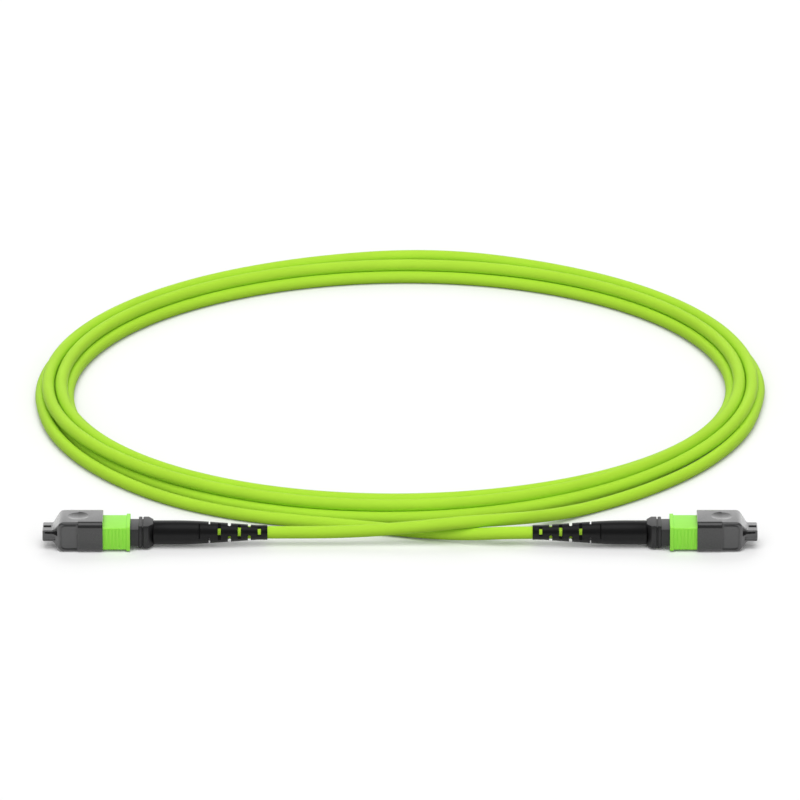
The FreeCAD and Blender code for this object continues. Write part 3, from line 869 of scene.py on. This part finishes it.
class PATCHLEAD_OT_housings(bpy.types.Operator):
    """Models the inner housings with their keys and latching notches"""
    bl_idname = "patchlead.housings"
    bl_label = "Inner housings"

    height = 5.8
    nose_chamfer = 0.4
    key_behind_nose = 1.4
    key_length = 3.0
    key_size = (3.0, 1.7)
    key_ease = 0.15
    ferrule_room = 6.0
    chamber_size = (7.6, 3.7)
    window_size = (6.5, 2.6)
    window_flare = (7.2, 3.3)
    # Behind the nose, where the latching notch in each side starts and ends.
    notch_reach = (4.4, 3.2)
    notch_size = (1.2, 3.2)

    def execute(self, context):
        style = context.scene.patch_mouldings
        start, end, width, _ = span("inner_housing")
        _, ferrule_face, _, _ = span("ferrule")
        chamfer = self.nose_chamfer
        rows = [(start, width, self.height), (end - chamfer, width, self.height),
                (end, width - 2 * chamfer, self.height - 2 * chamfer)]
        body = lofted("inner_housing", rows, corner=0.28, steps=3)
        key_end = end - self.key_behind_nose
        key = lofted("key", eased(key_end - self.key_length, key_end, *self.key_size,
                                  self.key_ease, self.height / 2), corner=0.2)
        combine(body, [key], "UNION")
        shoulder_front = ferrule_face - self.ferrule_room
        springs_start, springs_end, _, _ = span("sleeve_springs")
        notch_start, notch_end = self.notch_reach
        cutters = [
            bar("chamber", start - PAST, shoulder_front, self.chamber_size, corner=0.4),
            lofted("window", [(shoulder_front - PAST, *self.window_size),
                              (end - 0.3, *self.window_size), (end + 0.1, *self.window_flare)],
                   corner=0.15)]
        for y in (-width / 2, width / 2):
            cutters.append(channel(springs_start, springs_end, y))
            cutters.append(shifted(bar("notch", end - notch_start, end - notch_end,
                                       self.notch_size, corner=0.15), y))
        combine(body, cutters)
        tidy(body, 28.0)
        set_down(body, "inner_housing", "lead",
                 moulded("housing_plastic", style.housing_colour, 0.38, grain=7000.0))
        return {"FINISHED"}


# -------- strain relief boots
class PATCHLEAD_OT_boots(bpy.types.Operator):
    """Models the tapered strain relief boots with their alternating slots"""
    bl_idname = "patchlead.boots"
    bl_label = "Strain relief boots"

    slot_pitch = 3.3
    slot_first = 2.7
    # Width of each slot, its half angle, how near the axis it goes, and the turn of its middle.
    slots = ((1.05, 60.0, 1.92, 27.0), (1.0, 57.0, 1.2, 121.0), (1.05, 60.0, 1.6, 27.0),
             (1.0, 57.0, 1.2, 121.0), (1.05, 62.0, 1.85, 27.0), (0.5, 57.0, 2.3, 121.0),
             (0.5, 57.0, 2.75, 27.0))
    slot_reach = 8.0
    slot_rounding = 0.48    # share of a slot's width
    # Place and diameter along the cable end, and along the rounding of the collar end.
    cable_end = ((0, 4.5), (0.06, 4.74), (0.22, 4.9), (3.4, 4.9))
    collar_end = ((0.2, 8.0), (0.05, 7.88), (0, 7.7))
    cone_end = 17.5
    cone_diameter = 6.9
    belly = (19.2, 20.8, 22.4, 24.0, 25.7, 27.4, 29.1, 30.7)
    belly_length = 13.2
    belly_rise = 1.1
    belly_fullness = 0.92
    bore_clearance = 0.1

    def slot(self, place, width, half_angle, near, turn):
        """One sector through the wall, with its two ends rounded."""
        far = self.slot_reach
        rise = math.tan(math.radians(half_angle))
        obj = lofted("slot", [(place - width / 2, 1.0, 1.0), (place + width / 2, 1.0, 1.0)], 0.0)
        edit(obj, "VERT")
        for side, reach in ((-1, near), (1, far)):
            pick(obj, "verts", lambda v: abs(v.co.y - side / 2) < 0.01)
            bpy.ops.transform.translate(value=(0, reach - side / 2, 0))
            bpy.ops.transform.resize(value=(1, 1, 2 * reach * rise),
                                     center_override=(place, 0, 0))
        bpy.ops.mesh.select_mode(type="EDGE")
        pick(obj, "edges",
             lambda e: abs(abs(e.verts[0].co.y - e.verts[1].co.y) - far + near) < 0.01)
        bpy.ops.mesh.bevel(offset=width * self.slot_rounding, segments=6, affect="EDGES",
                           clamp_overlap=False)
        close()
        obj.rotation_euler.x = math.pi - math.radians(turn)
        select_only(obj)
        bpy.ops.object.transform_apply(rotation=True)
        return obj

    def swell(self, u):
        """Diameter of the boot's belly at u, between its cone and its collar end."""
        sine = math.sin(math.radians(90 * (u - self.cone_end) / self.belly_length))
        return self.cone_diameter + self.belly_rise * sine ** self.belly_fullness

    def execute(self, context):
        style = context.scene.patch_mouldings
        _, length, _, _ = span("strain_relief_boot")
        crimp_start, _, crimp_width, _ = span("crimp_ring")
        cable_way = context.scene.patch_cable.diameter / MM + self.bore_clearance
        crimp_way = crimp_width + self.bore_clearance
        shoulder = crimp_start - 0.05
        outline = [*self.cable_end, (self.cone_end, self.cone_diameter)]
        outline += [(u, self.swell(u)) for u in self.belly]
        outline += [(length - behind, diameter) for behind, diameter in self.collar_end]
        boot = turned("strain_relief_boot", outline, 96)
        bore = turned("bore", [(-PAST, cable_way), (shoulder, cable_way), (shoulder, crimp_way),
                               (length + PAST, crimp_way)])
        combine(boot, [bore])
        slots = []
        for index, (width, half_angle, near, turn) in enumerate(self.slots):
            place = self.slot_first + index * self.slot_pitch
            for other_side in (0.0, 180.0):
                slots.append(self.slot(place, width, half_angle, near, turn + other_side))
        combine(boot, slots)
        tidy(boot, 30.0)
        set_down(boot, "strain_relief_boot", "lead",
                 moulded("boot_elastomer", style.boot_colour, 0.36, grain=5000.0, specular=0.26),
                 mirrored=True)
        return {"FINISHED"}


# -------- ferrules and inner pieces
class PATCHLEAD_OT_ferrules(bpy.types.Operator):
    """Models the ferrules with their guide holes and fibre ends"""
    bl_idname = "patchlead.ferrules"
    bl_label = "Ferrules"

    fibre_count = 12
    fibre_pitch = 0.25
    fibre_diameter = 0.125
    shoulder_length = 2.0
    body_size = (6.4, 2.5)
    face_size = (6.24, 2.34)
    seat_size = (3.7, 1.6)
    seat_depth = 1.55
    # Behind the face, where the glue window on top starts and ends.
    window_reach = (4.0, 2.6)
    window_size = (2.8, 2.0)
    guide_y = 2.3
    guide_diameter = 0.7

    def body(self, rear, face, shoulder_size):
        """The ferrule itself, with its seat, its window and its guide holes."""
        shoulder = rear + self.shoulder_length
        body = lofted("ferrule", [(rear, *shoulder_size), (shoulder, *shoulder_size),
                                  (shoulder, *self.body_size), (face - 0.08, *self.body_size),
                                  (face, *self.face_size)], corner=0.15, steps=3)
        window_start, window_end = self.window_reach
        cutters = [
            bar("seat", rear - PAST, rear + self.seat_depth, self.seat_size, corner=0.15),
            bar("window", face - window_start, face - window_end, self.window_size, corner=0.1,
                middle=1.0)]
        for side in (-1, 1):
            cutters.append(turned("guide", [
                (rear - PAST, self.guide_diameter), (face - 0.12, self.guide_diameter),
                (face + 0.05, self.guide_diameter + 0.3)], 32, side * self.guide_y))
        combine(body, cutters)
        tidy(body, 30.0)
        return body

    def tips(self, face):
        """The polished ends of the fibres, which stand a hair out of the face."""
        tips = None
        for index in range(self.fibre_count):
            y = (index - (self.fibre_count - 1) / 2) * self.fibre_pitch
            tip = turned("fibre_tip", [(face - 0.4, self.fibre_diameter),
                                       (face + 0.004, self.fibre_diameter),
                                       (face + 0.01, self.fibre_diameter - 0.025)], 16, y)
            tips = tip if tips is None else combine(tips, [tip], "UNION")
        tidy(tips, 40.0)
        return tips

    def execute(self, context):
        rear, face, *shoulder_size = span("ferrule")
        set_down(self.body(rear, face, shoulder_size), "ferrule", "ferrule_group_{end}",
                 moulded("ferrule_resin_finish", (0.045, 0.040, 0.036), 0.25,
                                          grain=12000.0, tone=0.15))
        glass = Finish("fibre_end_glass")
        glass.set(Base_Color=glass.blend(glass.noise(9000.0), (0.75, 0.80, 0.82, 1),
                                         (0.9, 0.95, 0.97, 1)), Roughness=0.08)
        set_down(self.tips(face), "fibre_tips", "ferrule_group_{end}",
                 glass.data, replaces=False)
        refinish(["pin_clamp"], moulded("clamp_resin_finish", (0.50, 0.50, 0.48), 0.4))
        refinish(["ferrule_boot"], moulded("fibre_boot_finish", (0.05, 0.05, 0.05), 0.6))
        refinish(["fibre_ribbon"], moulded("ribbon_coating", (0.30, 0.60, 0.68), 0.3))
        refinish(["ferrule_spring", "sleeve_springs"],
                 wire_metal("spring_wire", (0.62, 0.62, 0.62), 0.28))
        refinish(["crimp_ring"], wire_metal("crimp_plating", (0.66, 0.64, 0.58), 0.32))
        return {"FINISHED"}


# -------- stage
class PATCHLEAD_OT_stage(bpy.types.Operator):
    """Sets the floor, the light and the camera"""
    bl_idname = "patchlead.stage"
    bl_label = "Stage"

    floor_tone = 0.975    # of the open floor, its paint and its glow together
    # Brightness of the surroundings in a mirror, in front and behind, and where the one turns
    # into the other, as a share of the way to the back.
    mirrored_front = 0.20
    mirrored_back = 1.15
    mirrored_change = (0.45, 0.85)
    # Each lamp's name, strength setting, direction, spread in degrees and place in mirrors.
    lamps = (("overhead", "lamp_strength", (0.0, -0.2, 1.0), 46, True),
             ("low_behind", "back_strength", (0.0, 1.0, 0.8), 40, False),
             ("front_fill", "fill_strength", (0.0, -1.0, 1.15), 80, False))

    def camera(self, context, look):
        data = bpy.data.cameras.new("camera")
        camera = bpy.data.objects.new("camera", data)
        context.collection.objects.link(camera)
        angle = look.camera_height_angle
        back = Vector((0, -math.cos(angle), math.sin(angle)))
        camera.location = Vector((0, look.aim_depth, 0)) + back * look.camera_distance
        camera.rotation_mode = "QUATERNION"
        camera.rotation_quaternion = (-back).to_track_quat("-Z", "Y")
        data.lens = data.sensor_width * look.camera_distance / look.view_width
        data.clip_start = 0.01
        data.clip_end = 100
        context.scene.camera = camera

    def floor(self, look):
        """White in view with the object's soft shadow on it, and a plain bounce of light."""
        floor = primitive("plane", "floor", size=60)
        finish = Finish("floor_paint")
        seen = finish.rays("Camera", "Glossy", "Transmission")
        black, bounce, shade, glow = (rgba((1, 1, 1), tone) for tone in (
            0, look.floor_bounce, self.floor_tone - look.floor_glow, look.floor_glow))
        finish.set(Base_Color=finish.blend(seen, bounce, shade), Roughness=1.0,
                   Specular_IOR_Level=0.0, Emission_Strength=1.0,
                   Emission_Color=finish.blend(seen, black, glow))
        floor.data.materials.append(finish.data)

    def sky(self, context, look):
        """A white backdrop in view and behind, and an even light everywhere else."""
        finish = Finish("studio", "worlds", "Background")
        context.scene.world = finish.data
        way = finish.node("ShaderNodeSeparateXYZ", {}, finish.node(
            "ShaderNodeTexCoord", {}, out="Generated"), out="Y")
        first, last = self.mirrored_change
        mirrored = finish.node("ShaderNodeMapRange", {"interpolation_type": "SMOOTHSTEP"},
                               Value=way, From_Min=first, From_Max=last,
                               To_Min=self.mirrored_front, To_Max=self.mirrored_back)
        glossy = finish.rays("Glossy")
        seen = finish.rays("Camera", "Transmission")
        finish.set(Color=(1, 1, 1, 1), Strength=seen + glossy * mirrored + (
            1 - seen - glossy) * look.sky_strength)

    def lamp(self, context, name, strength, direction, spread, mirrored):
        data = bpy.data.lights.new(name, "SUN")
        data.energy = strength
        data.angle = math.radians(spread)
        lamp = bpy.data.objects.new(name, data)
        context.collection.objects.link(lamp)
        lamp.visible_glossy = mirrored
        lamp.rotation_mode = "QUATERNION"
        lamp.rotation_quaternion = Vector(direction).to_track_quat("Z", "Y")

    def execute(self, context):
        look = context.scene.patch_stage
        self.camera(context, look)
        self.floor(look)
        self.sky(context, look)
        for name, strength, direction, spread, mirrored in self.lamps:
            self.lamp(context, name, getattr(look, strength), direction, spread, mirrored)
        context.scene.view_settings.view_transform = "Standard"
        return {"FINISHED"}


class PATCHLEAD_PT_panel(bpy.types.Panel):
    """Lists what builds the patch lead"""
    bl_idname = "PATCHLEAD_PT_panel"
    bl_label = "Patch lead"
    bl_space_type = "VIEW_3D"
    bl_region_type = "UI"
    bl_category = "Patch Lead"

    def draw(self, context):
        for operator in OPERATORS:
            self.layout.operator(operator.bl_idname)
        for settings, group in SETTINGS:
            for name in group.__annotations__:
                self.layout.prop(getattr(context.scene, settings), name)


OPERATORS = (PATCHLEAD_OT_stage, PATCHLEAD_OT_cable, PATCHLEAD_OT_dust_caps, PATCHLEAD_OT_sleeves,
             PATCHLEAD_OT_rear_bodies, PATCHLEAD_OT_housings, PATCHLEAD_OT_boots,
             PATCHLEAD_OT_ferrules)
SETTINGS = (("patch_stage", StageSettings), ("patch_cable", CableSettings),
            ("patch_mouldings", MouldingSettings))


def register():
    for name, group in SETTINGS:
        bpy.utils.register_class(group)
        setattr(bpy.types.Scene, name, PointerProperty(type=group))
    for item in OPERATORS + (PATCHLEAD_PT_panel,):
        bpy.utils.register_class(item)


def unregister():
    for item in reversed(OPERATORS + (PATCHLEAD_PT_panel,)):
        bpy.utils.unregister_class(item)
    for name, group in reversed(SETTINGS):
        delattr(bpy.types.Scene, name)
        bpy.utils.unregister_class(group)


def main():
    register()
    for operator in OPERATORS:
        family, name = operator.bl_idname.split(".")
        getattr(getattr(bpy.ops, family), name)()


if __name__ == "__main__":
    main()
